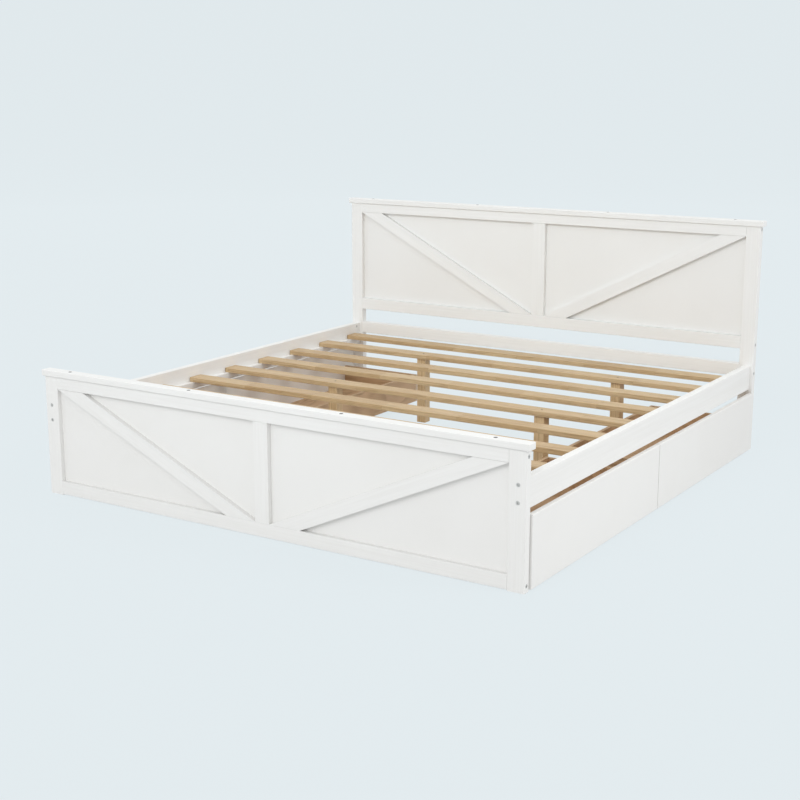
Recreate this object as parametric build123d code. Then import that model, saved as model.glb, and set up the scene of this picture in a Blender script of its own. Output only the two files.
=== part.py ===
"""King-size painted wooden bed frame with four rolling under-bed drawers.

Millimetres. X runs across the bed, Y from the footboard to the headboard and Z up.
The origin is on the floor, under the middle of the frame.
"""
import os

from build123d import *

# Overall sizes
POST_SPAN = 2066.0
INNER_LENGTH = 2040.0
POST_WIDTH = 62.0
BOARD_DEPTH = 32.0
EASE = 2.0

# Caps on the headboard and the footboard
CAP_THICK = 24.0
CAP_END_OVERHANG = 12.0
CAP_FACE_OVERHANG = 6.0
CAP_EASE = 3.0

# Footboard heights
FOOT_POST_TOP = 464.0
FOOT_TOP_RAIL_LOW = 418.0
FOOT_BOTTOM_RAIL_LOW = 3.0
FOOT_BOTTOM_RAIL_HIGH = 54.0
FOOT_BRACE_CUT = 130.0

# Headboard heights
HEAD_POST_TOP = 961.0
HEAD_TOP_RAIL_LOW = 918.0
HEAD_PANEL_RAIL_LOW = 440.0
HEAD_PANEL_RAIL_HIGH = 494.0
HEAD_CROSS_RAIL_LOW = 320.0
HEAD_CROSS_RAIL_HIGH = 375.0
HEAD_BRACE_CUT = 114.0

# Panels, braces and centre stiles
RECESS = 18.0
PANEL_THICK = 9.0
GROOVE_DEPTH = 8.0
GROOVE_PLAY = 0.1
PANEL_END_PLAY = 0.5
STILE_WIDTH = 62.0

# Side rails and slat ledgers
RAIL_INSET = 13.0
RAIL_THICK = 30.0
RAIL_LOW = 266.0
RAIL_HIGH = 368.0
LEDGER_WIDTH = 24.0
LEDGER_HEIGHT = 24.0
LEDGER_END_GAP = 39.0

# Slats and support legs
SLAT_COUNT = 9
SLAT_PITCH = 236.0
FIRST_SLAT_Y = 944.0
SLAT_WIDTH = 72.0
SLAT_THICK = 20.0
SLAT_TOP = 322.0
SLAT_END_GAP = 2.0
SLAT_EASE = 2.5
LEG_SIDE = 44.0
LEG_X = (-422.0, 550.0)
LEG_SLATS = (1, 4)

# Bed bolts with barrel nuts, two at each corner
BED_BOLT_Z = (294.0, 352.0)
BED_BOLT_R = 4.0
BED_BOLT_HEAD_R = 7.0
BED_BOLT_HEAD_H = 4.0
BED_BOLT_REACH = 48.0
BARREL_R = 6.0
BARREL_LENGTH = 22.0
BARREL_SETBACK = 26.0

# Thin bolts through the posts into the ends of the cross pieces, and through the caps
THIN_BOLT_R = 3.0
THIN_BOLT_HEAD_R = 7.0
THIN_BOLT_HEAD_H = 3.5
END_BOLT_REACH = 40.0
FOOT_END_BOLT_Z = (22.0, 443.0)
HEAD_END_BOLT_Z = (334.0, 458.0, 948.0)
CAP_BOLT_X = (-915.0, -331.0, 331.0, 915.0)
CAP_BOLT_REACH = 26.0

# Countersunk wood screws
SCREW_R = 2.0
SCREW_HEAD_R = 4.5
SCREW_HEAD_H = 3.0
LEG_SCREW_LENGTH = 70.0
SLAT_SCREW_LENGTH = 36.0
LEDGER_SCREW_LENGTH = 40.0
LEDGER_SCREW_BAYS = (0, 2, 5, 7)
HOLE_PLAY = 0.2

# Drawers
FRONT_THICK = 18.0
FRONT_LOW = 5.0
FRONT_HIGH = 252.0
FRONT_PROUD = 7.0
FRONT_END_GAP = 5.0
FRONT_MIDDLE_GAP = 4.0
BOX_INSET = 66.0
BOX_DEPTH = 414.0
BOX_LOW = 28.0
BOX_HIGH = 159.0
BOX_WALL = 15.0
BOTTOM_TOP = 57.0
BOTTOM_THICK = 9.0
BOTTOM_GROOVE = 5.0

# Fixed castors under each drawer
WHEEL_R = 18.0
WHEEL_WIDTH = 18.0
WHEEL_EASE = 2.0
AXLE_R = 3.0
AXLE_PLAY = 0.05
AXLE_HEAD_R = 5.0
AXLE_HEAD_H = 1.5
FORK_GAP = 1.0
FORK_THICK = 2.0
FORK_PLATE_LENGTH = 44.0
FORK_CHEEK_R = 9.0
CASTOR_X_INSET = 60.0
CASTOR_Y_INSET = 80.0

# Derived planes and edges
POST_OUT = POST_SPAN / 2
POST_IN = POST_OUT - POST_WIDTH
BOARD_IN = INNER_LENGTH / 2
BOARD_OUT = BOARD_IN + BOARD_DEPTH
BOARD_MIDDLE = (BOARD_IN + BOARD_OUT) / 2
RAIL_OUT = POST_OUT - RAIL_INSET
RAIL_IN = RAIL_OUT - RAIL_THICK
RAIL_MIDDLE = (RAIL_IN + RAIL_OUT) / 2
LEDGER_IN = RAIL_IN - LEDGER_WIDTH
LEDGER_TOP = SLAT_TOP - SLAT_THICK
LEDGER_LOW = LEDGER_TOP - LEDGER_HEIGHT
LEDGER_MIDDLE = (LEDGER_IN + RAIL_IN) / 2
LEDGER_SCREW_Z = LEDGER_TOP - LEDGER_HEIGHT / 2
SLAT_Y = [FIRST_SLAT_Y - SLAT_PITCH * i for i in range(SLAT_COUNT)]
FRONT_OUT = POST_OUT + FRONT_PROUD
FRONT_IN = FRONT_OUT - FRONT_THICK
BOX_BACK = FRONT_IN - BOX_DEPTH
BOTTOM_LOW = BOTTOM_TOP - BOTTOM_THICK

SIDES = {"left": -1, "right": 1}
FACING = Vector(0, -1, 0)


def block(x0, x1, y0, y1, z0, z1):
    """Return a square-edged board between two opposite corners."""
    middle = Pos((x0 + x1) / 2, (y0 + y1) / 2, (z0 + z1) / 2)
    return middle * Box(abs(x1 - x0), abs(y1 - y0), abs(z1 - z0))


def eased(board, axis, radius=EASE):
    """Round the long edges of a board that run along one axis."""
    return fillet(board.edges().filter_by(axis), radius)


def turned(direction):
    """Return the turn that points a +Z solid along a direction."""
    turns = {
        (0, 0, 1): Rot(0, 0, 0),
        (0, 0, -1): Rot(180, 0, 0),
        (1, 0, 0): Rot(0, 90, 0),
        (-1, 0, 0): Rot(0, -90, 0),
        (0, 1, 0): Rot(-90, 0, 0),
        (0, -1, 0): Rot(90, 0, 0),
    }
    return turns[direction]


def rod(start, direction, radius, length):
    """Return a round bar that starts at a point and runs along a direction."""
    bar = Pos(0, 0, length / 2) * Cylinder(radius, length)
    return Pos(*start) * turned(direction) * bar


def bolt(start, direction, head_r, head_h, shank_r, length, play=0.0):
    """Return a flush bolt, or the hole for it when play is given."""
    head = rod((0, 0, 0), (0, 0, 1), head_r + play, head_h)
    shank = rod((0, 0, 0), (0, 0, 1), shank_r + play, length + play)
    return Pos(*start) * turned(direction) * (head + shank)


def wood_screw(start, direction, length, play=0.0):
    """Return a countersunk screw, or the hole for it when play is given."""
    head = Pos(0, 0, SCREW_HEAD_H / 2) * Cone(SCREW_HEAD_R + play, SCREW_R + play, SCREW_HEAD_H)
    shank = rod((0, 0, 0), (0, 0, 1), SCREW_R + play, length + play)
    return Pos(*start) * turned(direction) * (head + shank)


def drilled(board, holes):
    """Cut a list of holes from a board."""
    for hole in holes:
        board = board - hole
    return board


def save(name, *solids):
    """Write one node, a single solid or a group of separate ones."""
    shape = solids[0] if len(solids) == 1 else Compound(children=list(solids))
    shape.label = name
    export_step(shape, os.path.join("parts", name + ".step"))


# Fastener positions, shared by the fasteners and the holes they sit in


def bed_bolts(play=0.0):
    """Return the bolts that hold the side rails to the posts."""
    length = BOARD_DEPTH + BED_BOLT_REACH
    sizes = (BED_BOLT_HEAD_R, BED_BOLT_HEAD_H, BED_BOLT_R, length, play)
    return [
        bolt((side * RAIL_MIDDLE, -way * BOARD_OUT, z), (0, way, 0), *sizes)
        for side in SIDES.values()
        for way in (-1, 1)
        for z in BED_BOLT_Z
    ]


def barrel_nuts(play=0.0):
    """Return the cross nuts, let into the side rails from the inside."""
    return [
        rod((side * RAIL_IN, end * (BOARD_IN - BARREL_SETBACK), z), (side, 0, 0),
            BARREL_R + play, BARREL_LENGTH + play)
        for side in SIDES.values()
        for end in (-1, 1)
        for z in BED_BOLT_Z
    ]


def end_bolts(play=0.0):
    """Return the bolts through the posts into the ends of the cross pieces."""
    places = [(-BOARD_MIDDLE, z) for z in FOOT_END_BOLT_Z]
    places += [(BOARD_MIDDLE, z) for z in HEAD_END_BOLT_Z]
    length = POST_WIDTH + END_BOLT_REACH
    sizes = (THIN_BOLT_HEAD_R, THIN_BOLT_HEAD_H, THIN_BOLT_R, length, play)
    return [
        bolt((side * POST_OUT, y, z), (-side, 0, 0), *sizes)
        for side in SIDES.values()
        for y, z in places
    ]


def cap_bolts(play=0.0):
    """Return the bolts that hold the two caps down."""
    tops = ((-BOARD_MIDDLE, FOOT_POST_TOP), (BOARD_MIDDLE, HEAD_POST_TOP))
    length = CAP_THICK + CAP_BOLT_REACH
    sizes = (THIN_BOLT_HEAD_R, THIN_BOLT_HEAD_H, THIN_BOLT_R, length, play)
    return [
        bolt((x, y, top + CAP_THICK), (0, 0, -1), *sizes)
        for y, top in tops
        for x in CAP_BOLT_X
    ]


def leg_screws(play=0.0):
    """Return the screws through the slats into the support legs."""
    return [
        wood_screw((x, SLAT_Y[i], SLAT_TOP), (0, 0, -1), LEG_SCREW_LENGTH, play)
        for i in LEG_SLATS
        for x in LEG_X
    ]


def slat_screws(play=0.0):
    """Return the screws driven up through the ledgers into the slat ends."""
    return [
        wood_screw((side * LEDGER_MIDDLE, y, LEDGER_LOW), (0, 0, 1), SLAT_SCREW_LENGTH, play)
        for side in SIDES.values()
        for y in SLAT_Y
    ]


def ledger_screws(play=0.0):
    """Return the screws that hold the ledgers to the side rails."""
    return [
        wood_screw((side * LEDGER_IN, SLAT_Y[i] - SLAT_PITCH / 2, LEDGER_SCREW_Z), (side, 0, 0),
                   LEDGER_SCREW_LENGTH, play)
        for side in SIDES.values()
        for i in LEDGER_SCREW_BAYS
    ]


# Headboard and footboard


def board_depths(end):
    """Return the front face, panel front, panel back and rear face of a board.

    The front face of both boards looks towards the foot of the bed.
    """
    front = -BOARD_OUT if end == "foot" else BOARD_IN
    panel_front = front + RECESS
    return front, panel_front, panel_front + PANEL_THICK, front + BOARD_DEPTH


def panel_groove(end, low, high):
    """Return the groove round a panel, cut from its posts and rails."""
    _, panel_front, panel_back, _ = board_depths(end)
    reach = POST_IN + GROOVE_DEPTH
    return block(-reach, reach, panel_front - GROOVE_PLAY, panel_back + GROOVE_PLAY,
                 low - GROOVE_DEPTH, high + GROOVE_DEPTH)


def post(end, side, top, groove):
    """Return one corner post with its groove and its bolt holes."""
    front, _, _, rear = board_depths(end)
    upright = block(side * POST_IN, side * POST_OUT, front, rear, 0, top)
    upright = eased(upright, Axis.Z)
    holes = bed_bolts(HOLE_PLAY) + end_bolts(HOLE_PLAY)
    return drilled(upright, [groove] + holes)


def cross_piece(end, low, high, cutters):
    """Return a rail between the two posts, cut by its groove and holes."""
    front, _, _, rear = board_depths(end)
    rail = eased(block(-POST_IN, POST_IN, front, rear, low, high), Axis.X)
    return drilled(rail, cutters)


def cap(end, low):
    """Return the moulded board that lies on top of a headboard or footboard."""
    front, _, _, rear = board_depths(end)
    reach = POST_OUT + CAP_END_OVERHANG
    plank = block(-reach, reach, front - CAP_FACE_OVERHANG, rear + CAP_FACE_OVERHANG,
                  low, low + CAP_THICK)
    plank = fillet(plank.edges(), CAP_EASE)
    return drilled(plank, cap_bolts(HOLE_PLAY))


def panel(end, low, high):
    """Return the thin panel that sits in the groove."""
    _, panel_front, panel_back, _ = board_depths(end)
    reach = POST_IN + GROOVE_DEPTH - PANEL_END_PLAY
    tongue = GROOVE_DEPTH - PANEL_END_PLAY
    return block(-reach, reach, panel_front, panel_back, low - tongue, high + tongue)


def stile(end, low, high):
    """Return the upright strip on the middle of a panel."""
    front, panel_front, _, _ = board_depths(end)
    half = STILE_WIDTH / 2
    return eased(block(-half, half, front, panel_front, low, high), Axis.Z, EASE / 2)


def brace(end, side, low, high, cut):
    """Return a slanting strip from an outer top corner to the foot of the stile."""
    _, panel_front, _, _ = board_depths(end)
    inner = STILE_WIDTH / 2
    corners = [
        (side * POST_IN, panel_front, high),
        (side * (POST_IN - cut), panel_front, high),
        (side * inner, panel_front, low),
        (side * (inner + cut), panel_front, low),
    ]
    face = make_face(Polyline(*corners, close=True))
    return extrude(face, amount=RECESS, dir=FACING)


def build_footboard():
    """Write every piece of the footboard."""
    low, high = FOOT_BOTTOM_RAIL_HIGH, FOOT_TOP_RAIL_LOW
    groove = panel_groove("foot", low, high)
    cutters = [groove] + end_bolts(HOLE_PLAY)
    for name, side in SIDES.items():
        save("foot_post_" + name, post("foot", side, FOOT_POST_TOP, groove))
        save("foot_brace_" + name, brace("foot", side, low, high, FOOT_BRACE_CUT))
    save("foot_top_rail", cross_piece("foot", high, FOOT_POST_TOP, cutters + cap_bolts(HOLE_PLAY)))
    save("foot_bottom_rail", cross_piece("foot", FOOT_BOTTOM_RAIL_LOW, low, cutters))
    save("foot_panel", panel("foot", low, high))
    save("foot_stile", stile("foot", low, high))
    save("foot_cap", cap("foot", FOOT_POST_TOP))


def build_headboard():
    """Write every piece of the headboard."""
    low, high = HEAD_PANEL_RAIL_HIGH, HEAD_TOP_RAIL_LOW
    groove = panel_groove("head", low, high)
    cutters = [groove] + end_bolts(HOLE_PLAY)
    for name, side in SIDES.items():
        save("head_post_" + name, post("head", side, HEAD_POST_TOP, groove))
        save("head_brace_" + name, brace("head", side, low, high, HEAD_BRACE_CUT))
    save("head_top_rail", cross_piece("head", high, HEAD_POST_TOP, cutters + cap_bolts(HOLE_PLAY)))
    save("head_panel_rail", cross_piece("head", HEAD_PANEL_RAIL_LOW, low, cutters))
    save("head_cross_rail", cross_piece("head", HEAD_CROSS_RAIL_LOW, HEAD_CROSS_RAIL_HIGH, cutters))
    save("head_panel", panel("head", low, high))
    save("head_stile", stile("head", low, high))
    save("head_cap", cap("head", HEAD_POST_TOP))


# Side rails, slats and legs


def build_sides():
    """Write the side rails and the ledgers that carry the slats."""
    rail_holes = bed_bolts(HOLE_PLAY) + barrel_nuts(HOLE_PLAY) + ledger_screws(HOLE_PLAY)
    ledger_holes = slat_screws(HOLE_PLAY) + ledger_screws(HOLE_PLAY)
    ledger_end = BOARD_IN - LEDGER_END_GAP
    for name, side in SIDES.items():
        rail = block(side * RAIL_IN, side * RAIL_OUT, -BOARD_IN, BOARD_IN, RAIL_LOW, RAIL_HIGH)
        save("side_rail_" + name, drilled(eased(rail, Axis.Y), rail_holes))
        ledger = block(side * LEDGER_IN, side * RAIL_IN, -ledger_end, ledger_end, LEDGER_LOW, LEDGER_TOP)
        save("slat_ledger_" + name, drilled(ledger, ledger_holes))


def build_slats():
    """Write the slats and the legs that hold up two of them."""
    slat_holes = slat_screws(HOLE_PLAY) + leg_screws(HOLE_PLAY)
    reach = RAIL_IN - SLAT_END_GAP
    half = SLAT_WIDTH / 2
    slats = []
    for y in SLAT_Y:
        slat = block(-reach, reach, y - half, y + half, LEDGER_TOP, SLAT_TOP)
        slats.append(drilled(eased(slat, Axis.X, SLAT_EASE), slat_holes))
    save("slats", *slats)

    half = LEG_SIDE / 2
    legs = []
    for i in LEG_SLATS:
        for x in LEG_X:
            leg = block(x - half, x + half, SLAT_Y[i] - half, SLAT_Y[i] + half, 0, LEDGER_TOP)
            legs.append(drilled(eased(leg, Axis.Z), leg_screws(HOLE_PLAY)))
    save("support_legs", *legs)


def build_fasteners():
    """Write the bolts, nuts and screws, one node for each kind."""
    save("bed_bolts", *bed_bolts())
    save("barrel_nuts", *[drilled(nut, bed_bolts(HOLE_PLAY)) for nut in barrel_nuts()])
    save("rail_end_bolts", *end_bolts())
    save("cap_bolts", *cap_bolts())
    save("leg_screws", *leg_screws())
    save("slat_screws", *slat_screws())
    save("ledger_screws", *ledger_screws())


# Drawers


def castor_fork(x, y):
    """Return a fixed castor's folded fork, screwed under the drawer bottom."""
    inner = WHEEL_WIDTH / 2 + FORK_GAP
    outer = inner + FORK_THICK
    half = FORK_PLATE_LENGTH / 2
    fork = block(x - half, x + half, y - outer, y + outer, BOTTOM_LOW - FORK_THICK, BOTTOM_LOW)
    for low in (-outer, inner):
        cheek = block(x - FORK_CHEEK_R, x + FORK_CHEEK_R, y + low, y + low + FORK_THICK,
                      WHEEL_R, BOTTOM_LOW - FORK_THICK)
        fork = fork + cheek + rod((x, y + low, WHEEL_R), (0, 1, 0), FORK_CHEEK_R, FORK_THICK)
    return fork - rod((x, y - outer, WHEEL_R), (0, 1, 0), AXLE_R + AXLE_PLAY, 2 * outer)


def castor_axle(x, y):
    """Return a riveted axle that spans a castor's fork."""
    outer = WHEEL_WIDTH / 2 + FORK_GAP + FORK_THICK
    axle = rod((x, y - outer, WHEEL_R), (0, 1, 0), AXLE_R, 2 * outer)
    axle = axle + rod((x, y - outer - AXLE_HEAD_H, WHEEL_R), (0, 1, 0), AXLE_HEAD_R, AXLE_HEAD_H)
    return axle + rod((x, y + outer, WHEEL_R), (0, 1, 0), AXLE_HEAD_R, AXLE_HEAD_H)


def castor_wheel(x, y):
    """Return a castor wheel with an eased tread."""
    wheel = rod((0, 0, 0), (0, 0, 1), WHEEL_R, WHEEL_WIDTH)
    wheel = fillet(wheel.edges().filter_by(GeomType.CIRCLE), WHEEL_EASE)
    wheel = wheel - rod((0, 0, 0), (0, 0, 1), AXLE_R + AXLE_PLAY, WHEEL_WIDTH)
    return Pos(x, y - WHEEL_WIDTH / 2, WHEEL_R) * turned((0, 1, 0)) * wheel


def build_drawer(prefix, side, y0, y1):
    """Write one drawer whose front runs from y0 to y1."""
    box0, box1 = y0 + BOX_INSET, y1 - BOX_INSET
    in0, in1 = box0 + BOX_WALL, box1 - BOX_WALL
    x_front, x_back = side * FRONT_IN, side * BOX_BACK
    x_inner = side * (BOX_BACK + BOX_WALL)
    groove = side * BOTTOM_GROOVE
    bottom = block(x_front + groove, x_inner - groove, in0 - BOTTOM_GROOVE, in1 + BOTTOM_GROOVE,
                   BOTTOM_LOW, BOTTOM_TOP)

    front = block(x_front, side * FRONT_OUT, y0, y1, FRONT_LOW, FRONT_HIGH)
    front = fillet(front.edges().group_by(Axis.X)[-1 if side > 0 else 0], EASE)
    walls = [
        block(x_back, x_front, box0, in0, BOX_LOW, BOX_HIGH),
        block(x_back, x_front, in1, box1, BOX_LOW, BOX_HIGH),
    ]
    back = block(x_back, x_inner, in0, in1, BOX_LOW, BOX_HIGH)
    save(prefix + "_front", front - bottom)
    save(prefix + "_sides", *[wall - bottom for wall in walls])
    save(prefix + "_back", back - bottom)
    save(prefix + "_bottom", bottom)

    castor_ys = (box0 + CASTOR_Y_INSET, box1 - CASTOR_Y_INSET)
    castor_xs = {
        "front": side * (FRONT_IN - CASTOR_X_INSET),
        "back": side * (BOX_BACK + CASTOR_X_INSET),
    }
    places = [(x, y) for x in castor_xs.values() for y in castor_ys]
    brackets = [castor_fork(x, y) for x, y in places] + [castor_axle(x, y) for x, y in places]
    save(prefix + "_castor_forks", *brackets)
    for row, x in castor_xs.items():
        save(prefix + "_" + row + "_wheels", *[castor_wheel(x, y) for y in castor_ys])


def build_drawers():
    """Write two drawers on each side, meeting halfway along the bed."""
    near = FRONT_MIDDLE_GAP / 2
    far = BOARD_IN - FRONT_END_GAP
    for name, side in SIDES.items():
        build_drawer("drawer_" + name + "_head", side, near, far)
        build_drawer("drawer_" + name + "_foot", side, -far, -near)


os.makedirs("parts", exist_ok=True)
build_headboard()
build_footboard()
build_sides()
build_slats()
build_fasteners()
build_drawers()
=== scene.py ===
"""Looks of a white-painted king-size bed frame with wooden slats and four rolling drawers."""
import logging
import math
from dataclasses import dataclass
from enum import Enum, IntEnum
from typing import Any, Sequence

import bmesh
import bpy
from mathutils import Matrix, Vector


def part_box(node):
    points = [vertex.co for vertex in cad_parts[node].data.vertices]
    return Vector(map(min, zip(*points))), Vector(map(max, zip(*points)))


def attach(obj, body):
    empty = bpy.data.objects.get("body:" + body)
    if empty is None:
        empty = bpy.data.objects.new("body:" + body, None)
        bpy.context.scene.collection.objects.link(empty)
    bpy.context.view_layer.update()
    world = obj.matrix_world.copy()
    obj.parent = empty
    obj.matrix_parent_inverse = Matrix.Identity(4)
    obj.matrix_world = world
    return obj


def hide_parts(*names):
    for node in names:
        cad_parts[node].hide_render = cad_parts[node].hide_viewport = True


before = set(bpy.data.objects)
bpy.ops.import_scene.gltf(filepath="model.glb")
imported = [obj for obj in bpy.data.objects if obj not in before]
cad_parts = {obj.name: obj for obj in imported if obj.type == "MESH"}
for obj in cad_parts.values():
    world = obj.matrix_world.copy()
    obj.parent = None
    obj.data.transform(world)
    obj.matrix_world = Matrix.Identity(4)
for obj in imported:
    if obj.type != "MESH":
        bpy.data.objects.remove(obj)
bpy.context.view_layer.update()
LOG = logging.getLogger("bed_frame")

Colour = tuple[float, float, float]
Point = tuple[float, float, float]
SHARP_ANGLE = math.radians(32)
WELD = 1e-6
# How many numbers tell nodes apart, and the step between the rows of one node
PIECE_NUMBERS = 89
ROW_STRIDE = 10


class Side(Enum):
    """The two long sides of the bed, with the way each one faces."""

    LEFT = -1
    RIGHT = 1

    @property
    def word(self) -> str:
        """The side's name as the pieces spell it."""
        return self.name.lower()


class End(Enum):
    """The two ends of the bed."""

    HEAD = "head"
    FOOT = "foot"


class Axis(IntEnum):
    """The axes of the bed: across it, along it and up."""

    X = 0
    Y = 1
    Z = 2


class Grain(Enum):
    """The axis that a piece's fibres run along, then the two axes across them."""

    ACROSS_BED = (Axis.X, Axis.Y, Axis.Z)
    ALONG_BED = (Axis.Y, Axis.X, Axis.Z)
    UPRIGHT = (Axis.Z, Axis.X, Axis.Y)


class Drive(Enum):
    """The recess in a fastener's head."""

    HEXAGON = "hex"
    CROSS = "cross"


class HeadPlace(Enum):
    """Which end of a fastener carries its head."""

    OUTER = "away from the middle of the bed"
    INNER = "towards the middle of the bed"
    TOP = "up"
    BOTTOM = "down"


class Value:
    """A shader socket whose arithmetic adds Math nodes."""

    def __init__(self, shader: "Shader", socket: bpy.types.NodeSocket) -> None:
        """Wrap an output socket of a shader."""
        self.shader = shader
        self.socket = socket

    def __add__(self, other: "Value | float") -> "Value":
        """Add a value or a number."""
        return self.shader.math("ADD", self, other)

    def __radd__(self, other: float) -> "Value":
        """Add to a number."""
        return self.shader.math("ADD", other, self)

    def __sub__(self, other: "Value | float") -> "Value":
        """Take away a value or a number."""
        return self.shader.math("SUBTRACT", self, other)

    def __rsub__(self, other: float) -> "Value":
        """Take from a number."""
        return self.shader.math("SUBTRACT", other, self)

    def __mul__(self, other: "Value | float") -> "Value":
        """Multiply by a value or a number."""
        return self.shader.math("MULTIPLY", self, other)

    def __rmul__(self, other: float) -> "Value":
        """Multiply a number."""
        return self.shader.math("MULTIPLY", other, self)

    def __truediv__(self, other: "Value | float") -> "Value":
        """Divide by a value or a number."""
        return self.shader.math("DIVIDE", self, other)

    def __abs__(self) -> "Value":
        """Drop the sign."""
        return self.shader.math("ABSOLUTE", self)


class Shader:
    """A material's node tree, built one call at a time."""

    def __init__(self, name: str) -> None:
        """Start a material with its main surface.

        Args:
            name: The material's name.
        """
        self.material = bpy.data.materials.new(name)
        self.material.use_nodes = True
        self.tree = self.material.node_tree
        self.surface = self.tree.nodes["Principled BSDF"]
        self.place = self.node("TexCoord")

    def feed(self, socket: bpy.types.NodeSocket, value: Any) -> None:
        """Link a value to a socket, or set a plain number or colour on it.

        Args:
            socket: The input socket.
            value: A Value, an output socket, a number, or a colour or vector.
        """
        if isinstance(value, Value):
            value = value.socket
        if isinstance(value, bpy.types.NodeSocket):
            self.tree.links.new(value, socket)
        elif socket.type == "RGBA":
            socket.default_value = (*value, 1.0)
        else:
            socket.default_value = value

    def node(self, kind: str, settings: dict[str, Any] | None = None,
             sockets: dict[str | int, Any] | None = None) -> bpy.types.Node:
        """Add one node.

        Args:
            kind: The node's type, without its ShaderNode prefix.
            settings: The node's own properties, set before its sockets.
            sockets: What each input is fed with.

        Returns:
            The new node.
        """
        node = self.tree.nodes.new("ShaderNode" + kind)
        for key, setting in (settings or {}).items():
            setattr(node, key, setting)
        for key, value in (sockets or {}).items():
            self.feed(node.inputs[key], value)
        return node

    def math(self, operation: str, *values: Value | float) -> Value:
        """Add a Math node.

        Args:
            operation: The node's operation.
            values: Its inputs, in order.

        Returns:
            The result.
        """
        node = self.node("Math", {"operation": operation}, dict(enumerate(values)))
        return Value(self, node.outputs[0])

    def vector(self, x: Value | float, y: Value | float, z: Value | float) -> Value:
        """Join three values to a vector."""
        return Value(self, self.node("CombineXYZ", None, {0: x, 1: y, 2: z}).outputs[0])

    def split(self, vector: Value) -> list[Value]:
        """Split a vector into its three values."""
        return [Value(self, out) for out in self.node("SeparateXYZ", None, {0: vector}).outputs]

    def position(self) -> Value:
        """Return the place on the piece, in metres."""
        return Value(self, self.place.outputs["Object"])

    def facing(self) -> list[Value]:
        """Return how far the surface faces along each axis, from 0 to 1."""
        return [abs(value) for value in self.split(Value(self, self.place.outputs["Normal"]))]

    def noise(self, vector: Value, scale: float = 1.0, detail: float = 2.0,
              roughness: float = 0.5, distortion: float = 0.0) -> Value:
        """Add soft noise.

        Args:
            vector: Where the noise is read.
            scale: How many cells it has in a unit of the vector.
            detail: How many finer layers are added.
            roughness: How strong the finer layers are.
            distortion: How much it swirls.

        Returns:
            A value around one half.
        """
        sockets = {"Vector": vector, "Scale": scale, "Detail": detail,
                   "Roughness": roughness, "Distortion": distortion}
        return Value(self, self.node("TexNoise", None, sockets).outputs[0])

    def chance(self, value: Value) -> Value:
        """Return a fixed random number from 0 to 1 for each whole number."""
        node = self.node("TexWhiteNoise", {"noise_dimensions": "1D"}, {"W": value})
        return Value(self, node.outputs["Value"])

    def ramp(self, value: Value, low: float, high: float) -> Value:
        """Return 0 below the low bound, 1 above the high one and a smooth rise between."""
        sockets = {"Value": value, "From Min": low, "From Max": high}
        node = self.node("MapRange", {"interpolation_type": "SMOOTHSTEP"}, sockets)
        return Value(self, node.outputs[0])

    def blend(self, share: Value | float, first: Value | Colour, second: Value | Colour,
              mode: str = "MIX") -> Value:
        """Mix two colours.

        Args:
            share: How much of the second colour is taken.
            first: The first colour.
            second: The second colour.
            mode: The way of mixing.

        Returns:
            The mixed colour.
        """
        settings = {"data_type": "RGBA", "blend_type": mode}
        return Value(self, self.node("Mix", settings, {0: share, 6: first, 7: second}).outputs[2])

    def bump(self, height: Value, depth: float) -> Value:
        """Return normals for a surface that rises by depth metres as height goes from 0 to 1."""
        return Value(self, self.node("Bump", None, {"Distance": depth, "Height": height}).outputs[0])

    def dress(self, sockets: dict[str, Any]) -> bpy.types.Material:
        """Feed the main surface and return the finished material."""
        for key, value in sockets.items():
            self.feed(self.surface.inputs[key], value)
        return self.material


@dataclass(frozen=True)
class Row:
    """Equal pieces of one node, set out in a line.

    Attributes:
        axis: The axis along which they stand.
        count: How many there are.
        width: The size of one along that axis, in metres.
    """

    axis: Axis
    count: int
    width: float


@dataclass(frozen=True)
class Spot:
    """Where a shaded point lies in its own piece.

    Attributes:
        offsets: How far it is from the middle of the piece, along each axis.
        halves: Half of the piece's size along each axis.
        grain: The way of the fibres.
        number: A number that tells pieces apart.
    """

    offsets: list[Value]
    halves: list[float]
    grain: Grain
    number: Value

    def fibres(self) -> list[Value]:
        """Return the offset along the fibres, then the two across them."""
        return [self.offsets[axis] for axis in self.grain.value]

    def edge_gap(self) -> Value:
        """Return the distance from the piece's nearest edge."""
        shader = self.number.shader
        x, y, z = (half - abs(offset) for half, offset in zip(self.halves, self.offsets))
        lower, upper = shader.math("MINIMUM", x, y), shader.math("MAXIMUM", x, y)
        return shader.math("MAXIMUM", lower, shader.math("MINIMUM", upper, z))


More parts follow.
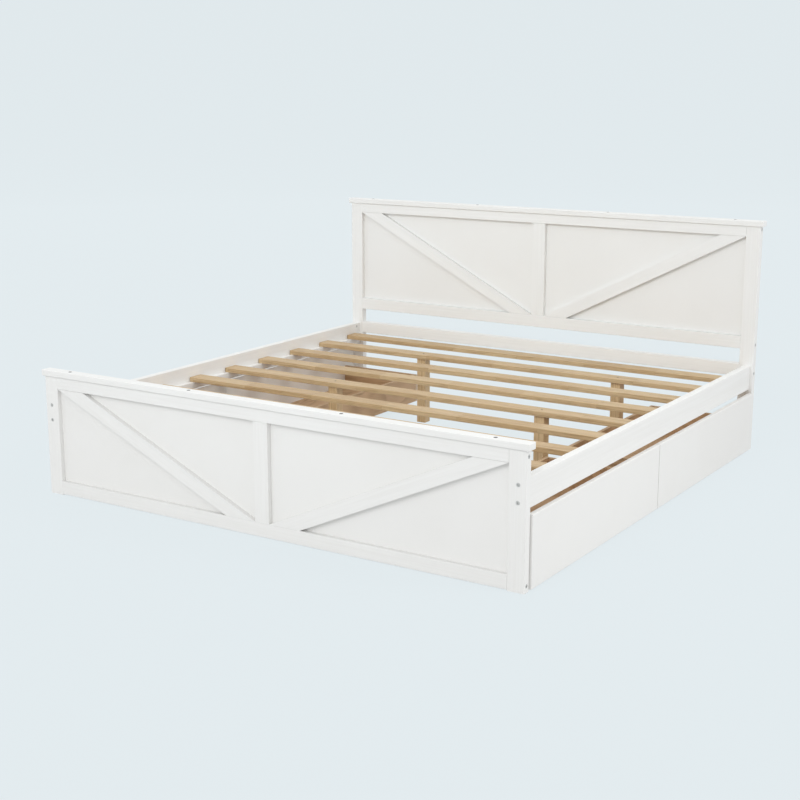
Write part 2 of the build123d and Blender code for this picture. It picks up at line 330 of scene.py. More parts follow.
@dataclass(frozen=True)
class Blank:
    """A CAD node as a cut piece of timber, or as several alike.

    Attributes:
        node: The CAD node.
        grain: The way its fibres run.
        slant: How far it leans about the Y axis, in radians.
        width: Its own width across the slant, where it leans.
        rows: How the pieces stand, where the node holds several.
    """

    node: str
    grain: Grain
    slant: float = 0.0
    width: float = 0.0
    rows: tuple[Row, ...] = ()

    def halves(self) -> list[float]:
        """Return half of one piece's size along each axis."""
        low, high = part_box(self.node)
        halves = list((high - low) / 2)
        for row in self.rows:
            halves[row.axis] = row.width / 2
        if self.slant:
            halves[Axis.X], halves[Axis.Z] = 2 * halves[Axis.X], self.width / 2
        return halves

    def thin_axis(self) -> int:
        """Return the axis along which the piece is thinnest."""
        halves = self.halves()
        return halves.index(min(halves))

    def spot(self, shader: Shader) -> Spot:
        """Read a shaded point's place in its own piece.

        Args:
            shader: The shader that asks.

        Returns:
            The place, from the middle of the piece.
        """
        low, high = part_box(self.node)
        sockets = {"Vector": shader.position(), "Location": (low + high) / 2,
                   "Rotation": (0, self.slant, 0)}
        turned = shader.node("Mapping", {"vector_type": "TEXTURE"}, sockets)
        offsets = shader.split(Value(shader, turned.outputs[0]))
        number: Value | float = float(sum(self.node.encode()) % PIECE_NUMBERS)
        for step, row in enumerate(self.rows):
            span = high[row.axis] - low[row.axis]
            pitch = (span - row.width) / (row.count - 1)
            first = -(span - row.width) / 2
            place = shader.math("FLOOR", (offsets[row.axis] - first) / pitch + 0.5)
            offsets[row.axis] = offsets[row.axis] - (place * pitch + first)
            number = place * (step * ROW_STRIDE + 1) + number
        if not isinstance(number, Value):
            number = shader.math("ADD", number, 0.0)
        return Spot(offsets, self.halves(), self.grain, number)


@dataclass(frozen=True)
class PaintedWood:
    """Satin white paint on planed timber or on smooth board.

    Attributes:
        white: The paint where it lies thick.
        thin: The paint where it has sunk in.
        rubbed: What shows where an edge is rubbed.
        sunken: A darker paint colour, painted shade for the piece's upper and lower faces.
        edge_sink: How much of that painted shade goes on those faces, from 0 to 1.
        fibres: How much of the fibres shows, from 0 on smooth board to 1.
        gloss: The paint's mean roughness.
    """

    white: Colour = (0.890, 0.884, 0.866)
    thin: Colour = (0.858, 0.850, 0.828)
    rubbed: Colour = (0.76, 0.74, 0.70)
    sunken: Colour = (0.74, 0.735, 0.72)
    edge_sink: float = 0.0
    fibres: float = 1.0
    gloss: float = 0.42

    def material(self, blank: Blank) -> bpy.types.Material:
        """Paint one piece.

        Args:
            blank: The piece.

        Returns:
            Its material.
        """
        shader = Shader("white_paint_" + blank.node)
        spot = blank.spot(shader)
        here = shader.position()
        cloud = shader.noise(here, scale=2.7, detail=3)
        stipple = shader.noise(here, scale=640, detail=1)
        tone, height = cloud, stipple * 0.35
        if self.fibres:
            along, across, through = spot.fibres()
            start = along * 3.2 + spot.number * 3.7
            streak = shader.noise(shader.vector(start, across * 118, through * 118),
                                  detail=4, roughness=0.62)
            figure = shader.noise(shader.vector(start * 0.3, across * 24, through * 24),
                                  distortion=0.9)
            tone = cloud * 0.25 + streak * 0.5 + figure * 0.25
            height = height + streak * self.fibres
        sunk = 1 - shader.ramp(tone, 0.36, 0.62)
        colour = shader.blend(sunk, self.white, self.thin)
        nicks = shader.ramp(shader.noise(here, scale=38, detail=4, roughness=0.7), 0.52, 0.74)
        rub = (1 - shader.ramp(spot.edge_gap(), 0.0003, 0.0026)) * nicks
        colour = shader.blend(rub * 0.5, colour, self.rubbed)
        # Painted shade: faces that point up or down are darkened to stand in for the shade along the
        # recess edges.
        if self.edge_sink:
            edge = shader.ramp(shader.facing()[Axis.Z], 0.3, 0.8)
            colour = shader.blend(edge * self.edge_sink, colour, self.sunken)
        return shader.dress({
            "Base Color": colour,
            "Roughness": self.gloss + sunk * 0.1 + rub * 0.15,
            "Normal": shader.bump(height - rub * 0.6, 0.00022),
        })


@dataclass(frozen=True)
class SealedWood:
    """Planed softwood under a clear coat, made of staves finger-jointed end to end.

    Attributes:
        pale: The wood between the rings.
        ripe: The darker wood of the rings.
        amber: The tint of the darkest staves.
        stave: The mean length of a stave, in metres.
        ring: The mean width of a ring, in metres.
        tooth: The pitch of a finger joint, in metres.
    """

    pale: Colour = (0.618, 0.453, 0.259)
    ripe: Colour = (0.405, 0.268, 0.134)
    amber: Colour = (0.83, 0.74, 0.62)
    stave: float = 0.34
    ring: float = 0.0052
    tooth: float = 0.0038

    def material(self, blank: Blank) -> bpy.types.Material:
        """Finish one piece, or a row of pieces alike.

        Args:
            blank: The piece.

        Returns:
            Its material.
        """
        shader = Shader("sealed_wood_" + blank.node)
        spot = blank.spot(shader)
        along, across, through = spot.fibres()
        piece = shader.chance(spot.number)
        joint = shader.math("PINGPONG", across, self.tooth / 2) * 5
        run = (along + joint + piece * 0.9) / self.stave
        stave = shader.math("FLOOR", run)
        tint = shader.chance(stave * 1.31 + spot.number * 17.3)
        start = along + stave * 0.61 + piece * 5
        wander = shader.noise(shader.vector(start * 1.6, across * 9, through * 9), detail=2)
        beside, below = across + (tint - 0.5) * 0.11, through + piece * 0.05 + 0.02
        radius = shader.math("SQRT", beside * beside + below * below)
        turn = shader.math("FRACT", radius / self.ring + wander * 2.6)
        ring = shader.ramp(turn, 0.25, 0.92) * (1 - shader.ramp(turn, 0.93, 1.0))
        pores = shader.noise(shader.vector(start * 9, across * 430, through * 430),
                             detail=3, roughness=0.6)
        flecks = shader.ramp(pores, 0.56, 0.74)
        cloud = shader.noise(shader.vector(start * 3, across * 30, through * 30), detail=2)
        streaks = shader.noise(shader.vector(start * 11, across * 130, through * 130),
                               detail=2, roughness=0.6)
        depth = ring * 0.4 + flecks * 0.3 + (cloud - 0.5) * 0.6 + (streaks - 0.5) * 1.5 + 0.12
        colour = shader.blend(shader.ramp(depth, 0.0, 1.0), self.pale, self.ripe)
        colour = shader.blend(tint * tint * 0.5, colour, self.amber, "MULTIPLY")
        seam = shader.math("PINGPONG", run, 0.5) * self.stave
        glue = 1 - shader.ramp(seam, 0.0002, 0.0009)
        cut_end = shader.ramp(shader.facing()[spot.grain.value[0]], 0.6, 0.9)
        colour = shader.blend(glue * 0.3 + cut_end * 0.45, colour, self.ripe, "MULTIPLY")
        edge = 1 - shader.ramp(spot.edge_gap(), 0.0003, 0.003)
        colour = shader.blend(edge * 0.22, colour, self.pale)
        return shader.dress({
            "Base Color": colour,
            "Roughness": 0.46 + flecks * 0.16 + cut_end * 0.2 - edge * 0.05,
            "Normal": shader.bump(ring * 0.35 - flecks * 0.6 - glue * 0.5, 0.00022),
        })


@dataclass(frozen=True)
class Plywood:
    """Brown plywood: a figured face veneer, and thin plies on the cut edges.

    Attributes:
        light: The pale wood of the veneer.
        dark: The dark wood of the veneer.
        core: The plies that show on a cut edge.
        plies: How many plies a sheet has.
    """

    light: Colour = (0.600, 0.400, 0.232)
    dark: Colour = (0.400, 0.248, 0.132)
    core: Colour = (0.720, 0.540, 0.350)
    plies: int = 5

    def material(self, blank: Blank) -> bpy.types.Material:
        """Finish one sheet.

        Args:
            blank: The sheet.

        Returns:
            Its material.
        """
        shader = Shader("plywood_" + blank.node)
        spot = blank.spot(shader)
        along, across, through = spot.fibres()
        start = along + spot.number * 0.83
        swirl = shader.noise(shader.vector(start * 0.9, across * 5.5, through * 5.5),
                             detail=2, distortion=1.4)
        turn = shader.math("FRACT", swirl * 9)
        figure = shader.ramp(turn, 0.2, 0.9) * (1 - shader.ramp(turn, 0.92, 1.0))
        pores = shader.noise(shader.vector(start * 14, across * 380, through * 380), detail=2)
        flecks = shader.ramp(pores, 0.55, 0.75)
        cloud = shader.noise(shader.position(), scale=4.0, detail=3)
        depth = figure * 0.42 + flecks * 0.3 + (cloud - 0.5) * 0.8 + 0.12
        colour = shader.blend(shader.ramp(depth, 0.0, 1.0), self.light, self.dark)
        thin = blank.thin_axis()
        sheet = spot.halves[thin] * 2
        layer = shader.math("FLOOR", (spot.offsets[thin] / sheet + 0.5) * self.plies)
        cross = shader.math("MODULO", layer, 2.0)
        rim = 1 - shader.ramp(shader.facing()[thin], 0.4, 0.6)
        plies = shader.blend(cross * 0.65, self.core, self.dark)
        colour = shader.blend(rim * 0.85, colour, plies)
        return shader.dress({
            "Base Color": colour,
            "Roughness": 0.55 + flecks * 0.15 + rim * 0.15,
            "Normal": shader.bump(figure * 0.2 - flecks * 0.6 - rim * cross * 0.5, 0.0002),
        })


@dataclass(frozen=True)
class CoatedSteel:
    """Steel under a thin coat, faintly clouded.

    Attributes:
        slot: The material slot that it belongs to.
        bright: The clean coat.
        dull: The clouded coat.
        gloss: Its mean roughness.
    """

    slot: str
    bright: Colour
    dull: Colour
    gloss: float

    def material(self, name: str) -> bpy.types.Material:
        """Coat one piece.

        Args:
            name: The piece's name.

        Returns:
            Its material.
        """
        shader = Shader(f"{self.slot}_{name}")
        here = shader.position()
        cloud = shader.ramp(shader.noise(here, scale=90, detail=4, roughness=0.6), 0.35, 0.68)
        scratch = shader.noise(here, scale=900, detail=2)
        return shader.dress({
            "Base Color": shader.blend(cloud, self.bright, self.dull),
            "Metallic": 0.7,
            "Roughness": self.gloss + cloud * 0.16 + scratch * 0.08,
            "Normal": shader.bump(scratch + cloud * 0.5, 0.00004),
        })


@dataclass(frozen=True)
class MouldedPlastic:
    """Matt moulded plastic with a fine spark texture.

    Attributes:
        name: What the plastic is for.
        body: Its colour.
        scuffed: Its colour where the floor has scuffed it.
        gloss: Its mean roughness.
    """

    name: str
    body: Colour
    scuffed: Colour
    gloss: float

    def material(self) -> bpy.types.Material:
        """Return the plastic's material."""
        shader = Shader(self.name)
        here = shader.position()
        spark = shader.noise(here, scale=1500, detail=2)
        scuff = shader.ramp(shader.noise(here, scale=130, detail=4, roughness=0.7), 0.5, 0.75)
        return shader.dress({
            "Base Color": shader.blend(scuff * 0.6, self.body, self.scuffed),
            "Roughness": self.gloss + scuff * 0.2,
            "Normal": shader.bump(spark - scuff * 0.4, 0.00005),
        })


TIMBER = PaintedWood()
# Painted shade on the upward and downward faces of the braces and of the rail under the panel.
EDGE_SHADED_TIMBER = PaintedWood(edge_sink=1.0)
BOARD = PaintedWood(white=(0.878, 0.870, 0.850), thin=(0.862, 0.853, 0.831), fibres=0.0, gloss=0.46)
SLAT_WOOD = SealedWood()
LEG_WOOD = SealedWood(pale=(0.720, 0.528, 0.302), ripe=(0.486, 0.322, 0.161))
BOX_PLY = Plywood()
ZINC = CoatedSteel("zinc_steel", (0.68, 0.675, 0.66), (0.50, 0.495, 0.48), 0.30)
# Painted shade: the cap bolt heads are coated dark to stand in for the shade in their counterbores.
CAP_BOLT_SHADE_ZINC = CoatedSteel("zinc_steel", (0.20, 0.198, 0.192), (0.12, 0.118, 0.114), 0.58)
BLACK = CoatedSteel("dark_steel", (0.15, 0.145, 0.14), (0.085, 0.083, 0.08), 0.38)


def dress_node(node: str, material: bpy.types.Material) -> None:
    """Give a CAD node its finish.

    Args:
        node: The node's name.
        material: The finish.
    """
    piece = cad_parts[node]
    if not piece.material_slots:
        piece.data.materials.append(material)
    for slot in piece.material_slots:
        slot.material = material
    LOG.info("%s finished with %s", node, material.name)


def add_piece(name: str, mesh: bmesh.types.BMesh, body: str, node: str,
              materials: Sequence[bpy.types.Material]) -> bpy.types.Object:
    """Put a finished mesh into the scene in place of a CAD node.

    Args:
        name: The piece's name.
        mesh: Its mesh, in place.
        body: The body that it rides on.
        node: The CAD node that it stands for.
        materials: Its materials, in the order of its faces' numbers.

    Returns:
        The piece.
    """
    for face in mesh.faces:
        face.smooth = True
    for edge in mesh.edges:
        edge.smooth = edge.calc_face_angle(0.0) < SHARP_ANGLE
    data = bpy.data.meshes.new(name)
    mesh.to_mesh(data)
    mesh.free()
    for material in materials:
        data.materials.append(material)
    piece = bpy.data.objects.new(name, data)
    bpy.context.scene.collection.objects.link(piece)
    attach(piece, body)
    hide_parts(node)
    LOG.info("%s made, with %d faces", name, len(data.polygons))
    return piece


def solids_of(node: str) -> list[tuple[Vector, Vector]]:
    """Find the separate solids of a CAD node.

    Args:
        node: The node's name.

    Returns:
        The lowest and highest corner of each solid, in a fixed order.
    """
    mesh = bmesh.new()
    mesh.from_mesh(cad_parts[node].data)
    bmesh.ops.remove_doubles(mesh, verts=mesh.verts, dist=WELD)
    waiting = set(mesh.verts)
    boxes = []
    while waiting:
        front = [waiting.pop()]
        solid = []
        while front:
            vert = front.pop()
            solid.append(vert.co.copy())
            near = {edge.other_vert(vert) for edge in vert.link_edges} & waiting
            waiting -= near
            front.extend(near)
        low, high = (Vector(pick(point[axis] for point in solid) for axis in Axis) for pick in (min, max))
        boxes.append((low, high))
    mesh.free()
    return sorted(boxes, key=lambda box: tuple(round(value, 4) for value in box[0]))


def spun(profile: Sequence[tuple[float, float]], steps: int, closed: bool = False,
         turn: float = 0.0) -> bmesh.types.BMesh:
    """Spin a profile about the Z axis.

    Args:
        profile: The profile's points, as radius and height.
        steps: The number of steps round the axis.
        closed: Whether the last point joins the first.
        turn: The angle at which the spin starts.

    Returns:
        The spun mesh.
    """
    mesh = bmesh.new()
    start = Matrix.Rotation(turn, 3, "Z")
    verts = [mesh.verts.new(start @ Vector((radius, 0.0, height))) for radius, height in profile]
    pairs = list(zip(verts, verts[1:]))
    if closed:
        pairs.append((verts[-1], verts[0]))
    edges = [mesh.edges.new(pair) for pair in pairs]
    bmesh.ops.spin(mesh, geom=verts + edges, cent=(0, 0, 0), axis=(0, 0, 1), angle=math.tau,
                   steps=steps, use_merge=True)
    bmesh.ops.remove_doubles(mesh, verts=mesh.verts, dist=WELD)
    return mesh


@dataclass
class PanelBoard:
    """The headboard or the footboard.

    Attributes:
        end: The end of the bed that it stands at.
        rails: The names of its cross pieces.
        ledge: The name of the one that the panel stands on.
        brace_cut: How long a brace's slanting end is along its rail, in metres.
    """

    end: End
    rails: tuple[str, ...]
    ledge: str
    brace_cut: float

    def node(self, word: str) -> str:
        """Return the CAD name of one of its pieces."""
        return f"{self.end.value}_{word}"

    def brace_blank(self, side: Side) -> Blank:
        """Describe a brace, whose fibres follow its slant.

        Args:
            side: The side of the bed.

        Returns:
            The brace as a cut piece.
        """
        node = self.node("brace_" + side.word)
        low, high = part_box(node)
        lean = math.atan2(high.z - low.z, high.x - low.x - self.brace_cut)
        return Blank(node, Grain.ACROSS_BED, -side.value * lean, self.brace_cut * math.sin(lean))

    def dress(self) -> None:
        """Paint every piece of the board."""
        for side in Side:
            post = self.node("post_" + side.word)
            dress_node(post, TIMBER.material(Blank(post, Grain.UPRIGHT)))
            brace = self.brace_blank(side)
            # The braces get painted shade on their upper and lower faces, and so does the rail under the
            # panel.
            dress_node(brace.node, EDGE_SHADED_TIMBER.material(brace))
        for word in self.rails + ("cap",):
            finish = EDGE_SHADED_TIMBER if word == self.ledge else TIMBER
            dress_node(self.node(word), finish.material(Blank(self.node(word), Grain.ACROSS_BED)))
        dress_node(self.node("stile"), TIMBER.material(Blank(self.node("stile"), Grain.UPRIGHT)))
        dress_node(self.node("panel"), BOARD.material(Blank(self.node("panel"), Grain.ACROSS_BED)))


@dataclass
class SideRails:
    """The side rails and the ledgers under the slat ends."""

    words: tuple[str, ...] = ("side_rail_", "slat_ledger_")

    def dress(self) -> None:
        """Paint the rails and the ledgers."""
        for side in Side:
            for word in self.words:
                node = word + side.word
                dress_node(node, TIMBER.material(Blank(node, Grain.ALONG_BED)))


@dataclass
class SlatBase:
    """The slats and the legs that hold up two of them.

    Attributes:
        slat_count: How many slats there are.
        slat_width: The width of a slat, in metres.
        leg_side: The thickness of a leg, in metres.
    """

    slat_count: int = 9
    slat_width: float = 0.072
    leg_side: float = 0.044

    def dress(self) -> None:
        """Finish the slats and the legs."""
        slats = Blank("slats", Grain.ACROSS_BED, rows=(Row(Axis.Y, self.slat_count, self.slat_width),))
        dress_node(slats.node, SLAT_WOOD.material(slats))
        square = (Row(Axis.X, 2, self.leg_side), Row(Axis.Y, 2, self.leg_side))
        legs = Blank("support_legs", Grain.UPRIGHT, rows=square)
        dress_node(legs.node, LEG_WOOD.material(legs))


@dataclass(frozen=True)
class CastorWheel:
    """A small moulded wheel with a groove round its tread and ribs in its sides.

    Attributes:
        radius: The radius of the tread.
        width: The width of the wheel.
        bore: The radius of the bore.
        hub: The radius of the hub.
        rim: The inner radius of the rim.
        web: How deep the sides are sunk between hub and rim.
        groove: How deep the groove in the tread is.
        steps: How many steps the wheel has round its axle.
        ribs: How many ribs each side has.
        rib_drop: How far the ribs stay below the hub and the rim.
    """

    radius: float = 0.018
    width: float = 0.018
    bore: float = 0.00305
    hub: float = 0.0062
    rim: float = 0.0134
    web: float = 0.0028
    groove: float = 0.0007
    steps: int = 48
    ribs: int = 6
    rib_drop: float = 0.0009

    def half_profile(self) -> list[tuple[float, float]]:
        """Return one half of the wheel's section, from the bore to the middle of the tread."""
        side = self.width / 2
        return [
            (self.bore, side - 0.0006), (self.bore + 0.0005, side - 0.0002),
            (self.hub - 0.0004, side - 0.0002), (self.hub, side - 0.0008),
            (self.hub + 0.0003, side - self.web), (self.rim - 0.0003, side - self.web),
            (self.rim, side - 0.0005), (self.rim + 0.0006, side - 0.0001),
            (self.radius - 0.0024, side - 0.0001), (self.radius - 0.0011, side - 0.0006),
            (self.radius - 0.0003, side - 0.0019), (self.radius, side - 0.0036),
            (self.radius, 0.0016), (self.radius - self.groove, 0.0011),
        ]

    def build(self) -> bmesh.types.BMesh:
        """Spin the wheel and raise the ribs in its sides.

        Returns:
            The wheel, about the Z axis.
        """
        upper = self.half_profile()
        lower = [(radius, -height) for radius, height in reversed(upper)]
        mesh = spun(upper + lower, self.steps, closed=True)
        self.raise_ribs(mesh)
        bmesh.ops.recalc_face_normals(mesh, faces=mesh.faces)
        for face in mesh.faces:
            middle = face.calc_center_median()
            face.material_index = int(math.hypot(middle.x, middle.y) < self.rim)
        return mesh

    def raise_ribs(self, mesh: bmesh.types.BMesh) -> None:
        """Raise ribs from the sunk sides of the wheel.

        Args:
            mesh: The spun wheel.
        """
        depth = self.width / 2 - self.web
        every = self.steps // self.ribs
        ribs = []
        for face in mesh.faces:
            middle = face.calc_center_median()
            step = int((math.atan2(middle.y, middle.x) % math.tau) / math.tau * self.steps)
            if abs(abs(middle.z) - depth) < WELD and step % every == 0:
                ribs.append(face)
        raised = bmesh.ops.extrude_discrete_faces(mesh, faces=ribs)["faces"]
        for face in raised:
            lift = math.copysign(self.web - self.rib_drop, face.calc_center_median().z)
            bmesh.ops.translate(mesh, verts=face.verts, vec=(0, 0, lift))


@dataclass
class Drawer:
    """One drawer on four fixed castors.

    Attributes:
        side: The side of the bed that it opens on.
        end: The end of the bed that it stands nearer to.
        wall: The thickness of its box's sides, in metres.
        wheel: Its castor wheel.
    """

    side: Side
    end: End
    wall: float = 0.015
    wheel: CastorWheel = CastorWheel()

    @property
    def body(self) -> str:
        """The CAD body that the drawer is."""
        return f"drawer_{self.side.word}_{self.end.value}"

    def dress(self) -> None:
        """Paint the front, finish the box and plate the castors."""
        front = Blank(self.body + "_front", Grain.ALONG_BED)
        dress_node(front.node, BOARD.material(front))
        walls = Blank(self.body + "_sides", Grain.ACROSS_BED, rows=(Row(Axis.Y, 2, self.wall),))
        dress_node(walls.node, BOX_PLY.material(walls))
        for word in ("_back", "_bottom"):
            sheet = Blank(self.body + word, Grain.ALONG_BED)
            dress_node(sheet.node, BOX_PLY.material(sheet))
        dress_node(self.body + "_castor_forks", ZINC.material(self.body + "_castors"))

    def build_wheels(self, plastics: Sequence[bpy.types.Material]) -> None:
        """Make the wheels of both rows.

        Args:
            plastics: The plastic of the tread and of the hub.
        """
        upright = Matrix.Rotation(math.radians(90), 4, "X")
        shape = bpy.data.meshes.new(self.body + "_wheel_shape")
        pattern = self.wheel.build()
        pattern.to_mesh(shape)
        pattern.free()
        for row in ("front", "back"):
            node = f"{self.body}_{row}_wheels"
            mesh = bmesh.new()
            for low, high in solids_of(node):
                first = len(mesh.verts)
                mesh.from_mesh(shape)
                mesh.verts.ensure_lookup_table()
                place = Matrix.Translation((low + high) / 2) @ upright
                bmesh.ops.transform(mesh, matrix=place, verts=mesh.verts[first:])
            add_piece(f"{self.body}_{row}_castor_wheels", mesh, node, node, plastics)
        bpy.data.meshes.remove(shape)


@dataclass
class Fixing:
    """One kind of bolt or screw, set wherever the CAD node has one.

    Attributes:
        node: The CAD node that holds them all.
        axis: The axis that they are driven along.
        head: The end that carries the head.
        drive: The recess in the head.
        shank: The radius of the shank, in metres.
        head_height: The height of the head, in metres.
        steel: Its finish.
        bolt_steps: How many steps a bolt has round its axis.
        screw_steps: How many steps a screw has.
    """

    node: str
    axis: Axis
    head: HeadPlace
    drive: Drive
    shank: float
    head_height: float
    steel: CoatedSteel
    bolt_steps: int = 24
    screw_steps: int = 12

    def head_side(self, low: Vector, high: Vector) -> int:
        """Return 1 where the head is at the higher end along the axis, else -1."""
        if self.head in (HeadPlace.TOP, HeadPlace.BOTTOM):
            return 1 if self.head is HeadPlace.TOP else -1
        outer = 1 if low[self.axis] + high[self.axis] > 0 else -1
        return outer if self.head is HeadPlace.OUTER else -outer

    def bolt(self, radius: float, length: float) -> bmesh.types.BMesh:
        """Make a bolt with a flat head and a hexagonal socket, driven along +Z.

        Args:
            radius: The radius of the head.
            length: The length over all.

        Returns:
            The bolt, with the top of its head at the origin.
        """
        ease = radius * 0.12
        mesh = spun([
            (radius - ease, 0.0), (radius - ease * 0.3, ease * 0.3), (radius, ease),
            (radius, self.head_height), (self.shank, self.head_height),
            (self.shank, length - self.shank * 0.4), (self.shank * 0.6, length), (0.0, length),
        ], steps=self.bolt_steps)
        rim = [edge for edge in mesh.edges if edge.is_boundary]
        bmesh.ops.create_circle(mesh, segments=6, radius=radius * 0.5)
        mouth = [edge for edge in mesh.edges if edge.is_wire]
        bmesh.ops.triangle_fill(mesh, edges=rim + mouth, use_beauty=True)
        walls = bmesh.ops.extrude_edge_only(mesh, edges=mouth)["geom"]
        deep = [part for part in walls if isinstance(part, bmesh.types.BMVert)]
        bmesh.ops.translate(mesh, verts=deep, vec=(0, 0, self.head_height * 0.7))
        floor = [edge for edge in mesh.edges if edge.is_boundary]
        bmesh.ops.contextual_create(mesh, geom=floor)
        bmesh.ops.recalc_face_normals(mesh, faces=mesh.faces)
        return mesh

    def screw(self, radius: float, length: float) -> bmesh.types.BMesh:
        """Make a countersunk screw with a cross recess, driven along +Z.

        Args:
            radius: The radius of the head.
            length: The length over all.

        Returns:
            The screw, with the top of its head at the origin.
        """
        mesh = spun([
            (radius * 0.97, 0.0), (radius, radius * 0.05), (self.shank, self.head_height),
            (self.shank, length - self.shank * 2.5), (self.shank * 0.35, length - self.shank * 0.4),
            (0.0, length),
        ], steps=self.screw_steps, turn=math.pi / self.screw_steps)
        rim = [edge for edge in mesh.edges if edge.is_boundary]
        arm = radius * 0.56
        grid = bmesh.ops.create_grid(mesh, x_segments=3, y_segments=3, size=arm)["verts"]
        faces = list({face for vert in grid for face in vert.link_faces})
        corners = [face for face in faces if min(map(abs, face.calc_center_median().xy)) > arm / 3]
        bmesh.ops.delete(mesh, geom=corners, context="FACES")
        cross = [face for face in faces if face.is_valid]
        mouth = [edge for edge in mesh.edges if edge.is_boundary and edge not in rim]
        bmesh.ops.triangle_fill(mesh, edges=rim + mouth, use_beauty=True)
        sunk = bmesh.ops.extrude_face_region(mesh, geom=cross)["geom"]
        deep = [part for part in sunk if isinstance(part, bmesh.types.BMVert)]
        bmesh.ops.scale(mesh, verts=deep, vec=(0.62, 0.62, 1.0))
        bmesh.ops.translate(mesh, verts=deep, vec=(0, 0, self.head_height * 0.6))
        bmesh.ops.delete(mesh, geom=[face for face in cross if face.is_valid], context="FACES")
        bmesh.ops.recalc_face_normals(mesh, faces=mesh.faces)
        return mesh

    def build(self) -> None:
        """Make every bolt or screw of this kind."""
        mesh = bmesh.new()
        across = [axis for axis in Axis if axis != self.axis]
        for low, high in solids_of(self.node):
            side = self.head_side(low, high)
            size = high - low
            make = self.bolt if self.drive is Drive.HEXAGON else self.screw
            pattern = make(max(size[axis] for axis in across) / 2, size[self.axis])
            start = (low + high) / 2
            start[self.axis] = high[self.axis] if side > 0 else low[self.axis]
            inward = Vector(-side if axis == self.axis else 0 for axis in Axis)
            turn = Vector((0, 0, 1)).rotation_difference(inward).to_matrix().to_4x4()
            bmesh.ops.transform(pattern, matrix=Matrix.Translation(start) @ turn, verts=pattern.verts)
            shape = bpy.data.meshes.new("fixing_shape")
            pattern.to_mesh(shape)
            pattern.free()
            mesh.from_mesh(shape)
            bpy.data.meshes.remove(shape)
        finish = self.steel.material(self.node)
        add_piece(f"{self.drive.value}_{self.node}", mesh, "frame", self.node, [finish])


@dataclass
class Fixings:
    """Every bolt, nut and screw of the frame.

    Attributes:
        bolt_shank: The radius of a bed bolt's shank, in metres.
        bolt_head: The height of its head.
        thin_shank: The radius of a thinner bolt's shank.
        thin_head: The height of its head.
        screw_shank: The radius of a screw's shank.
        screw_head: The height of its head.
    """

    bolt_shank: float = 0.004
    bolt_head: float = 0.004
    thin_shank: float = 0.003
    thin_head: float = 0.0035
    screw_shank: float = 0.002
    screw_head: float = 0.003

    def build(self) -> None:
        """Make the bolts and screws, and plate the barrel nuts."""
        bolt = (Drive.HEXAGON, self.bolt_shank, self.bolt_head)
        thin_bolt = (Drive.HEXAGON, self.thin_shank, self.thin_head)
        screw = (Drive.CROSS, self.screw_shank, self.screw_head)
        kinds = [
            Fixing("bed_bolts", Axis.Y, HeadPlace.OUTER, *bolt, ZINC),
            Fixing("rail_end_bolts", Axis.X, HeadPlace.OUTER, *thin_bolt, ZINC),
            # The cap bolts are coloured dark as painted shade for their counterbores.
            Fixing("cap_bolts", Axis.Z, HeadPlace.TOP, *thin_bolt, CAP_BOLT_SHADE_ZINC),
            Fixing("leg_screws", Axis.Z, HeadPlace.TOP, *screw, BLACK),
            Fixing("slat_screws", Axis.Z, HeadPlace.BOTTOM, *screw, BLACK),
            Fixing("ledger_screws", Axis.X, HeadPlace.INNER, *screw, BLACK),
        ]
        for kind in kinds:
            kind.build()
        dress_node("barrel_nuts", ZINC.material("barrel_nuts"))


@dataclass
class SoftLight:
    """A large soft light.

    Attributes:
        name: What it is called.
        place: Where it hangs, in metres.
        aim: The point that it faces.
        size: The length of its side, in metres.
        power: Its power, in watts.
        colour: Its colour.
        spread: How wide its beam is, in degrees.
    """

    name: str
    place: Point
    aim: Point
    size: float
    power: float
    colour: Colour = (1.0, 1.0, 1.0)
    spread: float = 180.0

    def hang(self) -> None:
        """Add the light to the scene."""
        lamp = bpy.data.lights.new(self.name, "AREA")
        lamp.shape = "SQUARE"
        lamp.size = self.size
        lamp.energy = self.power
        lamp.color = self.colour
        lamp.spread = math.radians(self.spread)
        holder = bpy.data.objects.new(self.name, lamp)
        holder.location = self.place
        beam = Vector(self.aim) - Vector(self.place)
        holder.rotation_euler = beam.to_track_quat("-Z", "Y").to_euler()
        holder.visible_camera = False
        bpy.context.scene.collection.objects.link(holder)


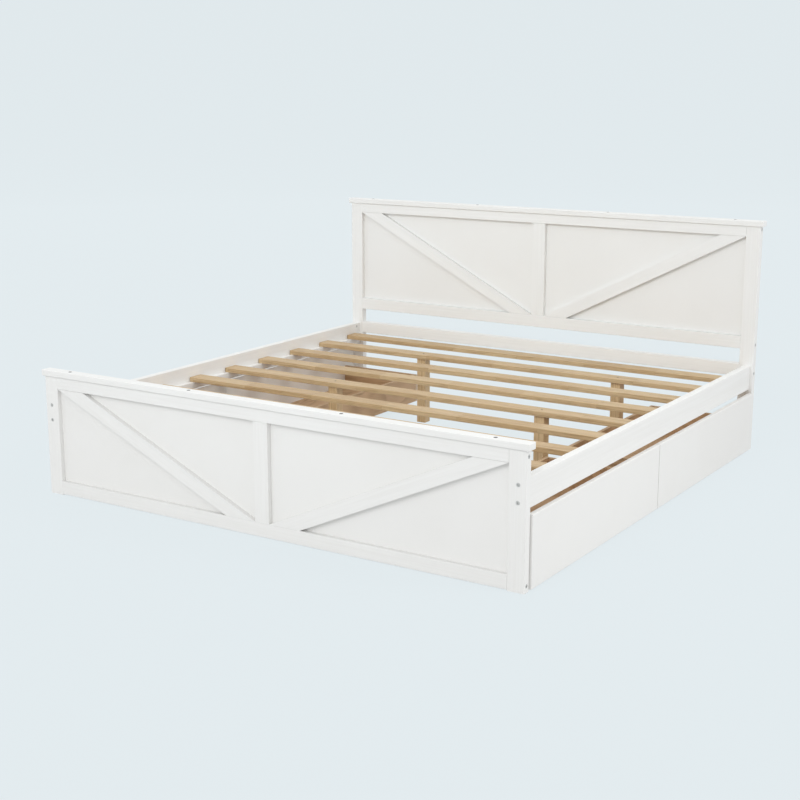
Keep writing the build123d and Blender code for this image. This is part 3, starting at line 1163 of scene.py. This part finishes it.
@dataclass
class Studio:
    """A pale floor that sweeps up all round, soft light and the camera.

    Attributes:
        flat: The radius of the flat floor, in metres.
        sweep: The radius of the curve at its edge, in metres.
        rise: How far the curve is followed, in degrees.
        floor_colour: What the floor sends back of the light on it.
        floor_glow: The floor's own light, which keeps it pale.
        reflector: What the unseen sheet sends back of the light on it.
        reflector_drop: How far that sheet lies below the floor, in metres.
        sky: The colour of the light from all round.
        sky_power: How strong that light is.
        warmth: The colour of the lamps in front and at the right.
        coolness: The colour of the lamp towards the headboard.
        camera_place: Where the camera stands, in metres.
        camera_yaw: How far it is turned from the bed's length, in degrees.
        camera_pitch: How far it looks down, in degrees.
        lens: Its focal length, in millimetres.
        sensor: The width of its sensor, in millimetres.
        clip: The nearest and the farthest distance that it sees, in metres.
    """

    flat: float = 12.0
    sweep: float = 10.0
    rise: float = 75.0
    floor_colour: Colour = (0.05, 0.053, 0.055)
    floor_glow: Colour = (0.705, 0.766, 0.790)
    reflector: Colour = (0.76, 0.76, 0.76)
    reflector_drop: float = 0.002
    sky: Colour = (0.985, 1.0, 1.012)
    sky_power: float = 0.83
    warmth: Colour = (1.0, 0.992, 0.978)
    coolness: Colour = (0.80, 0.94, 1.0)
    camera_place: Point = (2.98604, -4.83011, 1.60231)
    camera_yaw: float = 32.5681
    camera_pitch: float = 12.9973
    lens: float = 64.53
    sensor: float = 36.0
    clip: tuple[float, float] = (0.05, 200.0)

    def lay_floor(self) -> None:
        """Make the pale floor, with a curve that rises all round it."""
        mesh = bmesh.new()
        edge = mesh.verts.new((self.flat, 0, 0))
        bmesh.ops.spin(mesh, geom=[edge], cent=(self.flat, 0, self.sweep), axis=(0, -1, 0),
                       angle=math.radians(self.rise), steps=20)
        mesh.edges.new((mesh.verts.new((0, 0, 0)), edge))
        bmesh.ops.spin(mesh, geom=mesh.verts[:] + mesh.edges[:], cent=(0, 0, 0), axis=(0, 0, 1),
                       angle=math.tau, steps=128, use_merge=True)
        bmesh.ops.remove_doubles(mesh, verts=mesh.verts, dist=WELD)
        bmesh.ops.recalc_face_normals(mesh, faces=mesh.faces)
        floor = self.set_stage("studio_floor", mesh, {
            "Base Color": self.floor_colour, "Roughness": 0.9, "Specular IOR Level": 0.1,
            "Emission Color": self.floor_glow, "Emission Strength": 1.0,
        })
        floor.visible_diffuse = False

    def lay_reflector(self) -> None:
        """Lay an unseen sheet under the floor, which sends light back up and is dark under the bed."""
        mesh = bmesh.new()
        bmesh.ops.create_circle(mesh, cap_ends=True, segments=64, radius=self.flat)
        bmesh.ops.translate(mesh, verts=mesh.verts, vec=(0, 0, -self.reflector_drop))
        sockets = {"Base Color": self.reflector, "Roughness": 1.0}
        sheet = self.set_stage("studio_reflector", mesh, sockets)
        sheet.visible_camera = False
        sheet.visible_glossy = False

    def set_stage(self, name: str, mesh: bmesh.types.BMesh, sockets: dict[str, Any]) -> bpy.types.Object:
        """Put a piece of the studio into the scene.

        Args:
            name: The piece's name.
            mesh: Its mesh, in place.
            sockets: What its surface is fed with.

        Returns:
            The piece.
        """
        for face in mesh.faces:
            face.smooth = True
        data = bpy.data.meshes.new(name)
        mesh.to_mesh(data)
        mesh.free()
        data.materials.append(Shader(name).dress(sockets))
        piece = bpy.data.objects.new(name, data)
        bpy.context.scene.collection.objects.link(piece)
        return piece

    def light(self) -> None:
        """Set the sky and hang the soft lights."""
        world = bpy.data.worlds.new("studio_sky")
        world.use_nodes = True
        back = world.node_tree.nodes["Background"]
        back.inputs["Color"].default_value = (*self.sky, 1.0)
        back.inputs["Strength"].default_value = self.sky_power
        bpy.context.scene.world = world
        lights = [
            SoftLight("key_light", (0.2, -8.3, 5.8), (0.0, 0.0, 0.4), 5.0, 212.0, self.warmth),
            SoftLight("right_light", (6.5, 1.15, 4.4), (0.9, -1.0, 0.2), 2.5, 18.0, self.warmth, 60.0),
            SoftLight("head_light", (-1.0, -5.0, 4.0), (0.0, 1.05, 0.75), 1.5, 2.8, self.coolness, 35.0),
        ]
        for light in lights:
            light.hang()

    def set_camera(self) -> None:
        """Set up the camera at the photograph's angle."""
        data = bpy.data.cameras.new("camera")
        data.lens = self.lens
        data.sensor_width = self.sensor
        data.sensor_fit = "HORIZONTAL"
        data.clip_start, data.clip_end = self.clip
        camera = bpy.data.objects.new("camera", data)
        camera.location = self.camera_place
        tilt, turn = math.radians(90 - self.camera_pitch), math.radians(self.camera_yaw)
        camera.rotation_euler = (tilt, 0.0, turn)
        bpy.context.scene.collection.objects.link(camera)
        bpy.context.scene.camera = camera

    def build(self) -> None:
        """Set up the whole studio."""
        self.lay_floor()
        self.lay_reflector()
        self.light()
        self.set_camera()
        bpy.context.scene.view_settings.view_transform = "Standard"


def main() -> None:
    """Finish the bed piece by piece and set it in the studio."""
    logging.basicConfig(level=logging.INFO, format="%(message)s")
    PanelBoard(End.HEAD, ("top_rail", "panel_rail", "cross_rail"), "panel_rail", 0.114).dress()
    PanelBoard(End.FOOT, ("top_rail", "bottom_rail"), "bottom_rail", 0.130).dress()
    SideRails().dress()
    SlatBase().dress()
    Fixings().build()
    plastics = [
        MouldedPlastic("tread_plastic", (0.055, 0.056, 0.060), (0.16, 0.155, 0.15), 0.55).material(),
        MouldedPlastic("hub_plastic", (0.20, 0.205, 0.21), (0.28, 0.28, 0.28), 0.48).material(),
    ]
    for side in Side:
        for end in End:
            drawer = Drawer(side, end)
            drawer.dress()
            drawer.build_wheels(plastics)
    Studio().build()


if __name__ == "__main__":
    main()
